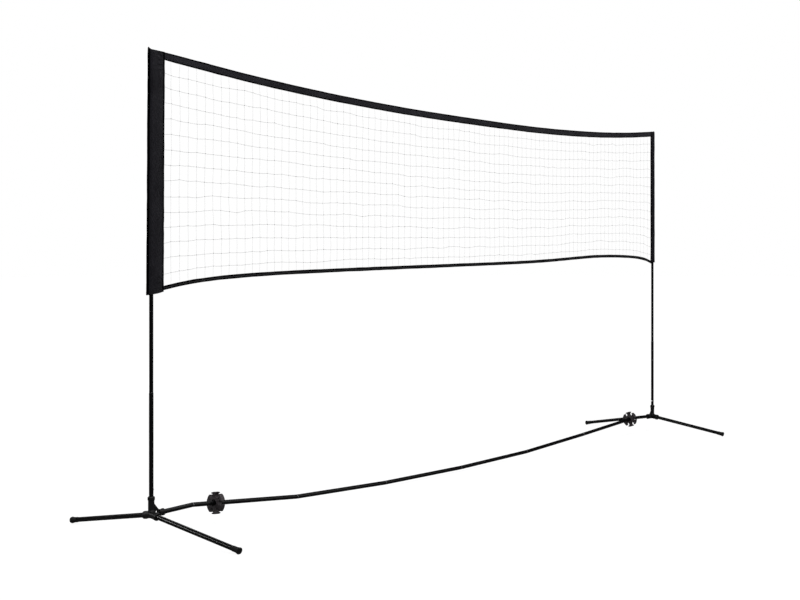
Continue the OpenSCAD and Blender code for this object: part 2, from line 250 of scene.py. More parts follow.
def painted_tube(name, axis):
    """Satin powder coat on steel: orange peel, draw marks along the tube, scuffs, bright chips at sharp ends."""
    m, tree, bsdf = new_material(name)
    net = Net(tree)
    pos = net.position()
    edge, soft = edge_mask(net, 0.0006)
    along = {"x": (3.0, 260.0, 260.0), "y": (260.0, 3.0, 260.0), "z": (260.0, 260.0, 3.0)}[axis]
    draw = net.noise(net.stretched(pos, along), 1.0, 2.0)
    peel = net.noise(pos, 900.0, 2.0)
    cloud = net.noise(pos, 14.0, 4.0, 0.6)
    scratch = net.math("GREATER_THAN", net.noise(net.stretched(pos, tuple(a * 1.7 + 9 for a in along)), 1.0, 4.0, 0.7), 0.69)
    scuff = net.math("MULTIPLY", scratch, net.ramp(net.noise(pos, 5.0, 3.0), [(0.5, (0, 0, 0)), (0.62, (1, 1, 1))]))
    chips = net.math("MULTIPLY", edge, net.ramp(net.noise(pos, 420.0, 3.0), [(0.5, (0, 0, 0)), (0.56, (1, 1, 1))]))
    paint = net.mix(net.ramp(cloud, [(0.35, (0, 0, 0)), (0.7, (1, 1, 1))]), (0.0022, 0.0022, 0.0025, 1), (0.0045, 0.0045, 0.005, 1))
    paint = net.mix(net.math("MULTIPLY", scuff, 0.15), paint, (0.05, 0.05, 0.054, 1))
    net.feed(bsdf.inputs["Base Color"], net.mix(chips, paint, (0.45, 0.45, 0.46, 1)))
    net.feed(bsdf.inputs["Metallic"], chips)
    rough = net.math("MULTIPLY_ADD", cloud, 0.12, 0.17)
    net.feed(bsdf.inputs["Roughness"], net.math("MULTIPLY_ADD", scuff, 0.2, rough, clamp=True))
    bsdf.inputs["Specular IOR Level"].default_value = 0.14
    bsdf.inputs["Coat Weight"].default_value = 0.015
    bsdf.inputs["Coat Roughness"].default_value = 0.14
    height = net.math("ADD", net.math("MULTIPLY", peel, 0.6), net.math("MULTIPLY", draw, 0.5))
    net.feed(bsdf.inputs["Normal"], net.bump(height, 0.06, 0.0002, soft))
    return m


def moulded(name, dark, light, rough, grain=1600.0, bump=0.25, radius=0.0009, wear=(0.09, 0.09, 0.095)):
    """Moulded plastic: fine spark-eroded grain, soft edges, rubbed lighter edges, handling marks."""
    m, tree, bsdf = new_material(name)
    net = Net(tree)
    pos = net.position()
    edge, soft = edge_mask(net, radius)
    cloud = net.noise(pos, 24.0, 4.0, 0.6)
    fine = net.noise(pos, grain, 3.0, 0.6)
    flow = net.noise(net.stretched(pos, (90.0, 90.0, 22.0)), 1.0, 3.0)
    rub = net.math("MULTIPLY", edge, net.ramp(net.noise(pos, 160.0, 3.0), [(0.38, (0, 0, 0)), (0.62, (1, 1, 1))]))
    col = net.mix(net.ramp(cloud, [(0.3, (0, 0, 0)), (0.72, (1, 1, 1))]), (*dark, 1), (*light, 1))
    net.feed(bsdf.inputs["Base Color"], net.mix(net.math("MULTIPLY", rub, 0.5), col, (*wear, 1)))
    r = net.math("MULTIPLY_ADD", cloud, 0.22, rough - 0.11)
    net.feed(bsdf.inputs["Roughness"], net.math("MULTIPLY_ADD", flow, 0.08, r, clamp=True))
    bsdf.inputs["Specular IOR Level"].default_value = 0.22
    net.feed(bsdf.inputs["Normal"], net.bump(fine, bump, 0.00015, soft))
    return m


def metal(name, col, rough, grain, metallic=1.0):
    m, tree, bsdf = new_material(name)
    net = Net(tree)
    pos = net.position()
    edge, soft = edge_mask(net, 0.0005)
    cells = net.node("ShaderNodeTexVoronoi", {"Scale": grain, "Vector": pos})
    spangle = net.mix(net.math("MULTIPLY", cells.outputs["Distance"], 1.2, clamp=True), (*col, 1), (*[c * 0.82 for c in col], 1))
    net.feed(bsdf.inputs["Base Color"], spangle)
    bsdf.inputs["Metallic"].default_value = metallic
    net.feed(bsdf.inputs["Roughness"], net.math("MULTIPLY_ADD", net.noise(pos, 130.0, 4.0), 0.2, rough - 0.1, clamp=True))
    net.feed(bsdf.inputs["Normal"], net.bump(net.noise(net.stretched(pos, (900.0, 900.0, 60.0)), 1.0), 0.15, 0.0001, soft))
    return m


def woven(name, dark, light, pitch, sheen=0.35, depth=0.35, rough=0.85, ribs=0.0):
    """Plain-weave polyester: two crossing yarns, slubs, fibre fuzz and sheen. The per-vertex tone attribute adds
    painted shade: near black along hems and rims, darker inside the pocket bore, lighter across the middle, with some
    random variation.
    """
    m, tree, bsdf = new_material(name)
    net = Net(tree)
    pos = net.position()
    wob = net.noise(pos, 60.0, 2.0)
    xyz = net.separate(pos)
    warp = net.math("MULTIPLY_ADD", wob, 0.35 * math.pi, net.math("MULTIPLY", xyz[0], math.pi / pitch))
    weft = net.math("MULTIPLY_ADD", wob, 0.35 * math.pi, net.math("MULTIPLY", xyz[2], math.pi / pitch))
    sx, sz = net.math("SINE", warp), net.math("SINE", weft)
    over = net.math("GREATER_THAN", net.math("MULTIPLY", sx, sz), 0.0)
    ax, az = net.math("ABSOLUTE", sx), net.math("ABSOLUTE", sz)
    weave = net.math("ADD", net.math("MULTIPLY", over, ax), net.math("MULTIPLY", net.math("SUBTRACT", 1.0, over), az))
    fuzz = net.noise(net.stretched(pos, (1.0, 1.0, 1.0)), 2600.0, 3.0, 0.7)
    slub = net.noise(net.stretched(pos, (40.0, 40.0, 700.0)), 1.0, 2.0)
    cloud = net.noise(pos, 9.0, 4.0, 0.6)
    tone_and_painted_shade = net.node("ShaderNodeAttribute", attribute_name="tone_and_painted_shade", attribute_type="GEOMETRY").outputs["Fac"]
    f = net.math("MULTIPLY_ADD", weave, 0.35, net.math("MULTIPLY_ADD", cloud, 0.7, net.math("MULTIPLY_ADD", slub, 0.3, -0.42)))
    f = net.math("ADD", f, tone_and_painted_shade, clamp=True)
    net.feed(bsdf.inputs["Base Color"], net.mix(f, (*dark, 1), (*light, 1)))
    net.feed(bsdf.inputs["Roughness"], net.math("MULTIPLY_ADD", fuzz, 0.14, rough - 0.07, clamp=True))
    # sheen and specular follow f, so where the painted shade is dark the reflection is taken away as well
    net.feed(bsdf.inputs["Specular IOR Level"], net.math("MULTIPLY", f, 0.16))
    net.feed(bsdf.inputs["Sheen Weight"], net.math("MULTIPLY", f, sheen))
    bsdf.inputs["Sheen Roughness"].default_value = 0.45
    height = net.math("ADD", weave, net.math("MULTIPLY", fuzz, 0.4))
    if ribs:
        height = net.math("ADD", height, net.math("MULTIPLY", net.math("SINE", net.math("MULTIPLY", xyz[2], 2 * math.pi / ribs)), 0.8))
    net.feed(bsdf.inputs["Normal"], net.bump(height, depth, 0.0003))
    return m


def thread(name, dark, light, rough=0.6):
    """Twisted multifilament thread or cord."""
    m, tree, bsdf = new_material(name)
    net = Net(tree)
    pos = net.position()
    xyz = net.separate(pos)
    lay = net.math("SINE", net.math("MULTIPLY", net.math("ADD", net.math("ADD", xyz[0], xyz[1]), xyz[2]), 2 * math.pi / 0.0009))
    cloud = net.noise(pos, 30.0, 3.0)
    net.feed(bsdf.inputs["Base Color"], net.mix(net.math("MULTIPLY_ADD", lay, 0.25, cloud, clamp=True), (*dark, 1), (*light, 1)))
    net.feed(bsdf.inputs["Roughness"], net.math("MULTIPLY_ADD", cloud, 0.2, rough - 0.1))
    bsdf.inputs["Sheen Weight"].default_value = 0.05
    bsdf.inputs["Specular IOR Level"].default_value = 0.2
    net.feed(bsdf.inputs["Normal"], net.bump(lay, 0.5, 0.0001))
    return m


MAT = {
    "tube_z": painted_tube("black_tube_post", "z"),
    "tube_x": painted_tube("black_tube_rod", "x"),
    "tube_y": painted_tube("black_tube_foot", "y"),
    "hub": moulded("hub_plastic", (0.0042, 0.0042, 0.0046), (0.0095, 0.0095, 0.0102), 0.42),
    "clip": moulded("clip_plastic", (0.036, 0.030, 0.0325), (0.066, 0.058, 0.063), 0.5, grain=1300.0, radius=0.001, wear=(0.16, 0.15, 0.155)),
    "rubber": moulded("cap_rubber", (0.003, 0.003, 0.0034), (0.007, 0.007, 0.0075), 0.72, grain=1000.0, bump=0.5, radius=0.0012, wear=(0.04, 0.04, 0.04)),
    "zinc": metal("zinc_steel", (0.62, 0.63, 0.66), 0.38, 350.0),
    # painted glint: a near-white base with little metallic keeps the spring buttons bright from every side
    "bright": metal("bright_steel", (0.98, 0.98, 0.99), 0.4, 200.0, 0.12),
    "sleeve": woven("sleeve_fabric", (0.0012, 0.0012, 0.0015), (0.0215, 0.0203, 0.0262), 0.0007, sheen=0.1),
    "tape": woven("tape_fabric", (0.0008, 0.0008, 0.001), (0.034, 0.0325, 0.0405), 0.0009, sheen=0.1, ribs=0.0022),
    "binding": woven("binding_fabric", (0.0008, 0.0008, 0.001), (0.024, 0.024, 0.027), 0.0007, sheen=0.06),
    "string": thread("net_string", (0.10, 0.098, 0.104), (0.2, 0.195, 0.205)),
    "stitch": thread("sewing_thread", (0.005, 0.005, 0.006), (0.016, 0.016, 0.018)),
}

for n, o in NODES.items():
    if "hub" in n or "post_cap" in n:
        key = "hub"
    elif "star_clip" in n:
        key = "clip"
    elif n.endswith("button"):
        key = "bright"
    elif "insert" in n or "joiners" in n or "spring" in n:
        key = "zinc"
    elif n.endswith("_cap"):
        key = "rubber"
    elif n.endswith("_foot"):
        key = "tube_y"
    elif n.startswith("rod_"):
        key = "tube_x"
    elif "post_tube" in n:
        key = "tube_z"
    else:
        key = "sleeve"
    o.data.materials.clear()
    o.data.materials.append(MAT[key])


def finish_piece(o, mat, stands_for=()):
    o.data.materials.append(MAT[mat])
    if stands_for:
        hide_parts(*stands_for)
    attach(o, "net")
    return o


# ---------------------------------------------------------------- where the soft parts are

TAPE_UP, TAPE_LO, XL, XR = edges_of("top_tape")
BIND_UP, BIND_LO, _, _ = edges_of("bottom_binding")
POST_L = (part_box("left_post_tube_3")[0].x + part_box("left_post_tube_3")[1].x) / 2
POST_R = (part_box("right_post_tube_3")[0].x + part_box("right_post_tube_3")[1].x) / 2
POST_RAD = (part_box("left_post_tube_3")[1].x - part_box("left_post_tube_3")[0].x) / 2
SLEEVE_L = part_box("left_sleeve")
SLEEVE_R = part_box("right_sleeve")
TOP = SLEEVE_L[1].z


def tape_y(x):
    """Small sideways wander of the tape, dying out where it is sewn to the sleeves."""
    hold = smoothstep(XL, XL + 0.25, x) * (1 - smoothstep(XR - 0.25, XR, x))
    return hold * 1.4 * MM * value_noise(np.asarray(x) / 0.22, 3.3, 11)


def bind_y(x):
    hold = smoothstep(XL, XL + 0.2, x) * (1 - smoothstep(XR - 0.2, XR, x))
    return hold * 1.6 * MM * value_noise(np.asarray(x) / 0.17, 7.7, 12)


def strip(name, lower, upper, section, xs, y_of, pucker, period, edge_wave, seed, tone_and_painted_shade_of):
    """A sewn tape: section is a list of (distance from the lower edge, half thickness) in mm, last distance = full height."""
    height = section[-1][0]
    rings, tones_and_painted_shade = [], []
    lo, up = lower(xs), upper(xs)
    wave_lo = edge_wave * MM * value_noise(xs / 0.035, 1.5, seed)
    wave_up = edge_wave * MM * value_noise(xs / 0.04, 9.5, seed)
    wob = 1 + pucker * np.cos(2 * math.pi * xs / period) + 0.06 * value_noise(xs / 0.012, 4.5, seed + 1)
    y0 = y_of(xs)
    cols = [(s, h, -1) for s, h in section] + [(s, h, 1) for s, h in section[-2:0:-1]]
    for s, h, side in cols:
        f = s / height
        z = lo + (up - lo) * f + wave_lo * (1 - f) + wave_up * f
        y = y0 + side * h * MM * wob
        rings.append(np.stack([xs, y, z], 1))
        tones_and_painted_shade.append(np.full(len(xs), tone_and_painted_shade_of(s, side)) + 0.05 * value_noise(xs / 0.06, s / 9 + 3 * side, seed + 2))
    n = len(cols)
    verts = np.stack(rings, 1).reshape(-1, 3)
    tone_and_painted_shade = np.stack(tones_and_painted_shade, 1).reshape(-1)
    faces = []
    for i in range(len(xs) - 1):
        for k in range(n):
            a, c = i * n + k, i * n + (k + 1) % n
            faces.append([a, c, c + n, a + n])
    faces.append(list(range(n))[::-1])
    faces.append([(len(xs) - 1) * n + k for k in range(n)])
    return make_object(name, verts, faces, True, tone_and_painted_shade, recalc=True)


def stitch_row(bag, at, s0, s1, pitch, length, radius=0.26, lift=0.22, out=None):
    """Stitches along a path. at(s) gives a point on the surface and out(s) the outward direction, both for arrays of s in metres."""
    count = int((s1 - s0) / pitch)
    for i in range(count):
        a = s0 + (i + 0.15) * pitch
        s = a + np.array([0.0, 0.12, 0.5, 0.88, 1.0]) * length
        up = np.array([-0.25, lift * 0.7, lift, lift * 0.7, -0.25]) * MM
        p = at(s)
        n = out(s)
        bag.sweep(p + n * up[:, None], radius * MM * np.array([0.6, 1, 1, 1, 0.6]), 5, plane=n[2])


# ---------------------------------------------------------------- top tape

TAPE_H = float(TAPE_UP(0.0) - TAPE_LO(0.0)) / MM
TAPE_SECTION = [(s * TAPE_H / 25.0, h) for s, h in
                [(0, 0), (0.35, 0.95), (1.2, 1.5), (2.6, 1.6), (3.4, 1.45), (3.9, 1.0), (4.7, 1.05), (8.0, 1.2), (12.5, 1.25), (17.0, 1.2),
                 (20.3, 1.05), (21.1, 1.0), (21.6, 1.45), (22.4, 1.6), (23.8, 1.5), (24.65, 0.95), (25, 0)]]
xs = np.arange(XL - 0.006, XR + 0.0061, 0.00225)


def tape_lo(x):
    """The tape's lower edge, pulled up a little where the far end is stretched narrow."""
    return TAPE_LO(x) + 1.0 * MM * smoothstep(0.75, 1.35, x) - 0.5 * MM


def tape_up(x):
    near = np.exp(-(np.asarray(x, float) - XL) / 0.05)
    return TAPE_UP(x) - 0.9 * MM * smoothstep(0.75, 1.35, x) - 2.2 * MM * near


# painted shade: the rolled hems of the tape are made near black, the middle lighter
tape = strip("net_top_tape", tape_lo, tape_up, TAPE_SECTION, xs, tape_y, 0.05, 0.0045, 0.45, 21,
             lambda s, side: -0.7 if (s < 4.5 * TAPE_H / 25 or s > 20.5 * TAPE_H / 25) else 0.22)
finish_piece(tape, "tape", ["top_tape"])

bag = Bag()
for s in (4.3, 20.7):
    f = s / 25.0
    for side in (-1, 1):
        def at(x, f=f, side=side):
            z = tape_lo(x) + (tape_up(x) - tape_lo(x)) * f
            return np.stack([x, tape_y(x) + side * 1.05 * MM, z], 1)

        def out(x, side=side):
            return np.tile(np.array([0.0, side, 0.0]), (len(x), 1))

        stitch_row(bag, at, XL + 0.002, XR - 0.002, 0.0045, 0.0036, out=out)
finish_piece(bag.build("tape_stitching"), "stitch")

# ---------------------------------------------------------------- bottom binding

BIND_H = float(BIND_UP(0.0) - BIND_LO(0.0)) / MM
BIND_SECTION = [(s * BIND_H / 13.0, h) for s, h in
                [(0, 0), (0.35, 0.95), (1.1, 1.5), (2.4, 1.75), (3.8, 1.65), (4.8, 1.2), (5.4, 1.1), (6.5, 1.15), (7.6, 1.1), (8.2, 1.2), (9.2, 1.6),
                 (10.6, 1.7), (11.9, 1.4), (12.65, 0.9), (13, 0)]]
xs = np.arange(XL - 0.012, XR + 0.0061, 0.0025)


def bind_lo(x):
    return BIND_LO(x) - 1.0 * MM


def bind_up(x):
    return BIND_UP(x) + 1.0 * MM


# painted shade: the rolled edges of the binding are made near black, the middle band lighter
binding = strip("net_bottom_binding", bind_lo, bind_up, BIND_SECTION, xs, bind_y, 0.05, 0.005, 0.5, 31,
                lambda s, side: 0.5 if 4.7 < s * 13.0 / BIND_H < 8.3 else -0.8)
finish_piece(binding, "binding", ["bottom_binding"])

bag = Bag()
for side in (-1, 1):
    def at(x, side=side):
        z = bind_lo(x) + (bind_up(x) - bind_lo(x)) * (8.4 / 13)
        return np.stack([x, bind_y(x) + side * 1.25 * MM, z], 1)

    def out(x, side=side):
        return np.tile(np.array([0.0, side, 0.0]), (len(x), 1))

    stitch_row(bag, at, XL + 0.002, XR - 0.002, 0.005, 0.0038, out=out)
finish_piece(bag.build("binding_stitching"), "stitch")

# ---------------------------------------------------------------- string netting

ROWS = 14
ROW_0, ROW_STEP = 0.057, 0.0688
FIRST_COL, COL_PITCH = XL + 0.024, 0.03325
COLS = int((XR - 0.012 - FIRST_COL) / COL_PITCH) + 1
ROW_R, COL_R = 0.33 * MM, 0.17 * MM


def panel_y(x, f):
    return tape_y(x) * (1 - f) + bind_y(x) * f


def knot_positions():
    j, k = np.meshgrid(np.arange(COLS), np.arange(ROWS), indexing="ij")
    x = FIRST_COL + j * COL_PITCH
    f = ROW_0 + ROW_STEP * k
    rng = np.random.RandomState(5)
    dx = 2.6 * MM * value_noise(j / 5.0, k / 4.0, 41) + rng.normal(0, 0.9 * MM, j.shape)
    dz = 4.2 * MM * value_noise(j / 2.6, k / 1.7, 42) + rng.normal(0, 1.1 * MM, j.shape)
    x = x + dx
    z = TAPE_LO(x) * (1 - f) + BIND_UP(x) * f + dz
    y = panel_y(x, f) + rng.normal(0, 0.15 * MM, j.shape)
    return np.stack([x, y, z], 2)


KNOTS = knot_positions()
bag = Bag()
for k in range(ROWS):
    f = ROW_0 + ROW_STEP * k
    rng = np.random.RandomState(100 + k)
    pts = []
    x0, x1 = XL - 0.006, XR + 0.004
    z0 = TAPE_LO(x0) * (1 - f) + BIND_UP(x0) * f + (3.0 + rng.normal(0, 1.2)) * MM
    z1 = TAPE_LO(x1) * (1 - f) + BIND_UP(x1) * f + rng.normal(0, 1.5) * MM
    anchor = [np.array([x0, 0, z0])] + [KNOTS[j, k] for j in range(COLS)] + [np.array([x1, 0, z1])]
    for a, b in zip(anchor[:-1], anchor[1:]):
        sag = (0.5 + 0.35 * rng.rand()) * MM
        for t in (0.0, 0.33, 0.67):
            p = a * (1 - t) + b * t
            p = p + np.array([0, 0, -sag * 4 * t * (1 - t)])
            pts.append(p)
    pts.append(anchor[-1])
    bag.sweep(np.array(pts), ROW_R, 6)
for j in range(COLS):
    rng = np.random.RandomState(300 + j)
    xt = FIRST_COL + j * COL_PITCH + rng.normal(0, 0.8) * MM
    top = np.array([xt, tape_y(xt), TAPE_LO(xt) + 0.003])
    bot = np.array([xt, bind_y(xt), BIND_UP(xt) - 0.003])
    anchor = [top] + [KNOTS[j, k] for k in range(ROWS)] + [bot]
    pts = []
    for a, b in zip(anchor[:-1], anchor[1:]):
        bow = rng.normal(0, 0.45) * MM
        for t in (0.0, 0.5):
            p = a * (1 - t) + b * t
            pts.append(p + np.array([bow * 4 * t * (1 - t), 0, 0]))
    pts.append(anchor[-1])
    bag.sweep(np.array(pts), COL_R, 6)

# small tied knots
ico = bmesh.new()
bmesh.ops.create_icosphere(ico, subdivisions=2, radius=1.0)
ico_v = np.array([v.co[:] for v in ico.verts])
ico_f = [[v.index for v in f.verts] for f in ico.faces]
ico.free()
rng = np.random.RandomState(9)
for j in range(COLS):
    for k in range(ROWS):
        lump = 1 + 0.16 * np.sin(ico_v @ rng.normal(0, 3, 3) + rng.rand() * 6)
        a = rng.uniform(-0.6, 0.6)
        v = ico_v * lump[:, None] * (np.array([1.35, 0.95, 1.1]) * MM * rng.uniform(0.9, 1.1))
        rot = np.array([[math.cos(a), 0, math.sin(a)], [0, 1, 0], [-math.sin(a), 0, math.cos(a)]])
        bag.add(v @ rot.T + KNOTS[j, k], ico_f)
netting = bag.build("string_netting")
finish_piece(netting, "string", ["string_panel"])


# ---------------------------------------------------------------- sleeves

class Sleeve:
    """A fabric pocket round a post with a flat doubled flap towards the net. All inner numbers are in mm; u runs from the post
    axis towards the net, v across it."""

    def __init__(self, axis_x, sign, u_out, flap, pocket_end, pocket_half, z_low, ear, tilt, seed, drift, slant, flare):
        self.axis_x, self.sign, self.flap, self.seed = axis_x, sign, flap, seed
        self.u_out = u_out
        self.tilt = tilt
        self.pocket_end, self.half = pocket_end, pocket_half
        self.z_low, self.top, self.ear, self.drift, self.slant, self.flare = z_low, TOP / MM, ear, drift, slant, flare
        uc, a = (self.u_out + pocket_end) / 2, (pocket_end - self.u_out) / 2
        theta = np.linspace(math.pi, 0.16 * math.pi, 30)
        us = list(uc + a * np.cos(theta))
        self.theta = list(theta)
        u = us[-1] + 1.2
        while u < flap - 7.2:
            us.append(u)
            u += 2.2
        us += [flap - x for x in (7.0, 6.2, 5.4, 4.6, 3.2, 1.9, 1.0, 0.4, 0.0)]
        us = [x for i, x in enumerate(us) if i == 0 or x > us[i - 1] + 0.05]
        self.us = np.array(us)
        self.uc, self.a = uc, a
        extra = len(us) - len(self.theta)
        self.theta = np.array(self.theta + list(np.linspace(0.16 * math.pi, 0.0, extra + 1)[1:]))

    def half_thickness(self, u):
        """Half of the sleeve's thickness at u: round the post, then a taut taper to the hem along the inner edge."""
        r = -self.u_out
        ring = self.half * np.sqrt(np.clip(1 - (np.clip(u, -r, r) / r) ** 2, 0, 1))
        end = max(self.flap - 8.0, self.pocket_end)
        bend = min(2.4, end * 0.2)
        h_bend = self.half * math.sqrt(1 - (bend / r) ** 2)
        t = np.clip((u - bend) / (end - bend), 0, 1)
        taper = h_bend + (1.5 - h_bend) * (t - 0.10 * np.sin(math.pi * t))
        flat = 1.5 + 0.35 * smoothstep(self.flap - 5.6, self.flap - 4.8, u)
        d = np.clip(self.flap - u, 0, 1.7) / 1.7
        close = np.sqrt(np.clip(1 - (1 - d) ** 2, 0, 1))
        return np.where(u <= bend, ring, np.maximum(taper, np.minimum(flat, h_bend)) * close)

    def point(self, u, z, side, full=True):
        """Point on the outer skin. side is -1 for the front, +1 for the back."""
        u, z = np.broadcast_arrays(np.asarray(u, float), np.asarray(z, float))
        s = self.seed
        d_top = self.z_top(u) - z
        d_bot = z - self.z_bottom(u)
        flap_zone = smoothstep(self.pocket_end, self.pocket_end + 12, u)
        pocket_zone = 1 - smoothstep(self.pocket_end - 4, self.pocket_end + 4, u)
        # folds fanning out of the two sewn corners
        fold = np.zeros_like(u)
        for (cu, cz, amp, reach, up) in self.corners():
            r = np.hypot(u - cu, z - cz)
            phi = np.arctan2((z - cz) * up, cu - u)
            fold = fold + 0.55 * amp * np.sin(phi * 10.0 + 2.2 * value_noise(r / 22, phi * 1.4, s + 5)) * np.exp(-((r / reach) ** 2)) * smoothstep(2, 22, r) * (phi > -0.6)
        slanted = 0.55 * value_noise((u - 0.42 * z) / 7.5, z / 70, s + 9)
        common = flap_zone * (0.8 * value_noise(u / 34, z / 95, s) + 0.22 * value_noise(u / 15, z / 28, s + 1) + slanted + fold)
        common = common * smoothstep(0, 18, d_top) * (0.35 + 0.65 * (1 - smoothstep(self.flap - 14, self.flap, u)))
        # creases round the post, and small puckers along the seams
        crease = value_noise(u / 16 + 5 * side, z / 9 + 0.25 * u, s + 2) * 0.16 + value_noise(u / 20 + 9 * side, z / 30, s + 3) * 0.4
        crease = crease * pocket_zone + 0.16 * value_noise(u / 9 + 7 * side, z / 8, s + 4) * (1 - pocket_zone)
        h = self.half_thickness(u)
        inner = np.exp(-((u - (self.flap - 5.2)) / 0.8) ** 2) * 0.14 if self.flap > 20 else 0
        hem = 0.25 * (1 - smoothstep(11.4, 12.4, d_bot)) - 0.14 * np.exp(-((d_bot - 12.2) / 0.8) ** 2)
        ease = smoothstep(0.0, 1.2, h)
        h = h + ease * (crease + hem - inner)
        h = np.maximum(h, 0)
        # rounded lower edge and domed, sewn top
        h = h - 0.5 * ease * (1 - smoothstep(0, 1.0, d_bot))
        c = np.clip(0.72 * h, 1.5, 6.5)
        h = h * np.sqrt(np.clip(1 - (1 - np.clip(d_top / c, 0, 1)) ** 2, 0, 1))
        # the outer half drifts away from the post towards the lower end
        outer = 1 - smoothstep(-2, self.pocket_end, u)
        low = np.clip((self.top - z) / (self.top - self.z_low), 0, 1)
        du = -outer * self.drift * low + outer * 0.5 * value_noise(z / 30, 2.0, s + 6)
        du = du + self.flare * np.exp(-d_bot / 22.0) * smoothstep(2, self.flap, u)
        du = du + (0.5 * value_noise(z / 26, 5.0, s + 7) - self.slant * low) * smoothstep(self.flap * 0.5, self.flap, u)
        x = self.axis_x / MM + self.sign * (u + du)
        y = common + side * h
        return np.stack([x * MM, y * MM, z * MM], -1)

    def corners(self):
        if self.flap > 20:
            return [(self.flap, TAPE_LO(XL) / MM, 2.3, 62.0, -1), (self.flap, BIND_UP(XL) / MM, 2.0, 55.0, 1)]
        return []

    def z_top(self, u):
        return self.top + self.ear * np.clip((-u - 2.5) / 9.0, 0, 1) ** 1.4 - self.tilt * np.clip(u / self.flap, 0, 1)

    def z_bottom(self, u):
        return self.z_low + (np.asarray(u, float) - 20) * (0.16 if self.flap > 20 else 0.05)

    def tone_and_painted_shade(self, u, z, side):
        # painted shade: the outer edge, the inner flap edge and the top are made dark where the cloth turns away; the
        # hems are a little darker than the panel, which varies at random
        painted_shade_rim = (u > self.flap - (7.0 if self.flap > 20 else 4.2)) | (u < self.u_out + 2.6) | (self.z_top(u) - z < 3.0)
        hem = (u > self.flap - 5.2) | (z - self.z_bottom(u) < 12.2)
        return np.where(painted_shade_rim, -0.8, np.where(hem, 0.1, 0.2 + 0.06 * value_noise(u / 18, z / 40 + side, self.seed + 8)))

    def build(self, name):
        span = self.top - self.z_low
        w = [0.0, 0.5, 1.1, 2.2] + list(np.arange(4.2, 15, 1.2)) + list(np.arange(15.6, span - 8.0, 2.6))
        w = w + [span - x for x in (7.4, 6.4, 5.4, 4.5, 3.6, 2.8, 2.0, 1.4, 0.9, 0.5, 0.2, 0.0)]
        w = np.array(w) / span
        us = self.us
        nf = len(us)
        n = 2 * nf - 2
        verts, tones_and_painted_shade, rings = [], [], 0
        for t in w:
            z = self.z_bottom(us) + t * (self.z_top(us) - self.z_bottom(us))
            front = self.point(us, z, -1)
            back = self.point(us[-2:0:-1], z[-2:0:-1], 1)
            verts.append(np.concatenate([front, back]))
            tones_and_painted_shade.append(np.concatenate([self.tone_and_painted_shade(us, z, -1), self.tone_and_painted_shade(us[-2:0:-1], z[-2:0:-1], 1)]))
            rings += 1
        faces = []
        for i in range(rings - 1):
            for k in range(n):
                a, c = i * n + k, i * n + (k + 1) % n
                faces.append([a, c, c + n, a + n])
        # top: front and back meet in the seam, so join them pair by pair
        top = (rings - 1) * n
        for k in range(nf - 1):
            a, b = top + k, top + k + 1
            c = top + (n - k - 1) if k + 1 < nf - 1 else None
            d = top + (n - k) if k > 0 else None
            quad = [a, b] + ([c] if c is not None else []) + ([d] if d is not None else [])
            if len(quad) > 2:
                faces.append(quad)
        # pocket bore round the post, with its tone set low as painted shade inside the pocket
        bore_r = POST_RAD / MM + 0.9
        ang_f = -self.theta
        ang_b = self.theta[-2:0:-1]
        ang = np.concatenate([ang_f, ang_b])
        base = rings * n
        z_rim = np.concatenate([self.z_bottom(us), self.z_bottom(us[-2:0:-1])])
        z_rim = np.interp(np.cos(ang) * bore_r, us, self.z_bottom(us))
        zs = [z_rim + 0.3, z_rim + 1.0] + [np.full(n, self.z_low + q) for q in list(np.linspace(16, span - 8, 26))] + [np.full(n, self.top - 4.4), np.full(n, self.top - 3.6)]
        rr = [bore_r + 0.5, bore_r] + [bore_r] * 26 + [bore_r, bore_r - 0.9]
        for z, r in zip(zs, rr):
            x = self.axis_x / MM + self.sign * (r * np.cos(ang))
            verts.append(np.stack([x * MM, r * np.sin(ang) * MM, z * MM], -1))
            tones_and_painted_shade.append(np.full(n, -0.3))
        for k in range(n):
            a, c = k, (k + 1) % n
            faces.append([base + a, base + c, c, a])
        for i in range(len(zs) - 1):
            for k in range(n):
                a, c = base + i * n + k, base + i * n + (k + 1) % n
                faces.append([a + n, c + n, c, a])
        verts.append(np.array([[self.axis_x, 0, (self.top - 3.4) * MM]]))
        tones_and_painted_shade.append(np.array([-0.3]))
        pole = base + len(zs) * n
        last = base + (len(zs) - 1) * n
        for k in range(n):
            faces.append([last + k, pole, last + (k + 1) % n])
        return make_object(name, np.concatenate(verts), faces, True, np.concatenate(tones_and_painted_shade), recalc=True)

    def stitches(self, bag):
        def rows(u, z_of, side, s0, s1, vertical=True):
            def at(s):
                if vertical:
                    return self.point(np.full(len(s), u), s / MM, side)
                return self.point(s / MM, z_of(s / MM), side)

            def out(s):
                return np.tile(np.array([0.0, side, 0.0]), (len(s), 1))

            stitch_row(bag, at, s0, s1, 0.0045, 0.0035, out=out)

        for side in (-1, 1):
            lo, hi = self.z_low + 3, self.top - 4
            if self.flap < 20:
                rows(self.flap - 3.2, None, side, lo * MM, hi * MM)
            else:
                rows(self.flap - 5.2, None, side, (lo + 8) * MM, hi * MM)
                rows(0, lambda u: self.z_bottom(u) + 12.2, side, (self.pocket_end + 2) * MM, (self.flap - 6) * MM, False)
                rows(0, lambda u: np.full_like(u, self.top - 6.5), side, (self.pocket_end + 2) * MM, (self.flap - 6) * MM, False)


left = Sleeve(POST_L, 1, -11.5, 51.0, 15.0, 9.6, SLEEVE_L[0].z / MM, 6.0, 2.0, 61, 5.5, 4.5, 0.0)
right = Sleeve(POST_R, -1, -15.0, 16.0, 12.0, 10.4, SLEEVE_R[0].z / MM, 2.0, 1.0, 71, 1.0, 0.0, 3.0)
for s, name, node in ((left, "left_net_sleeve", "left_sleeve"), (right, "right_net_sleeve", "right_sleeve")):
    finish_piece(s.build(name), "sleeve", [node])
    bag = Bag()
    s.stitches(bag)
    finish_piece(bag.build(name + "_stitching"), "stitch")

# ---------------------------------------------------------------- floor, light, camera

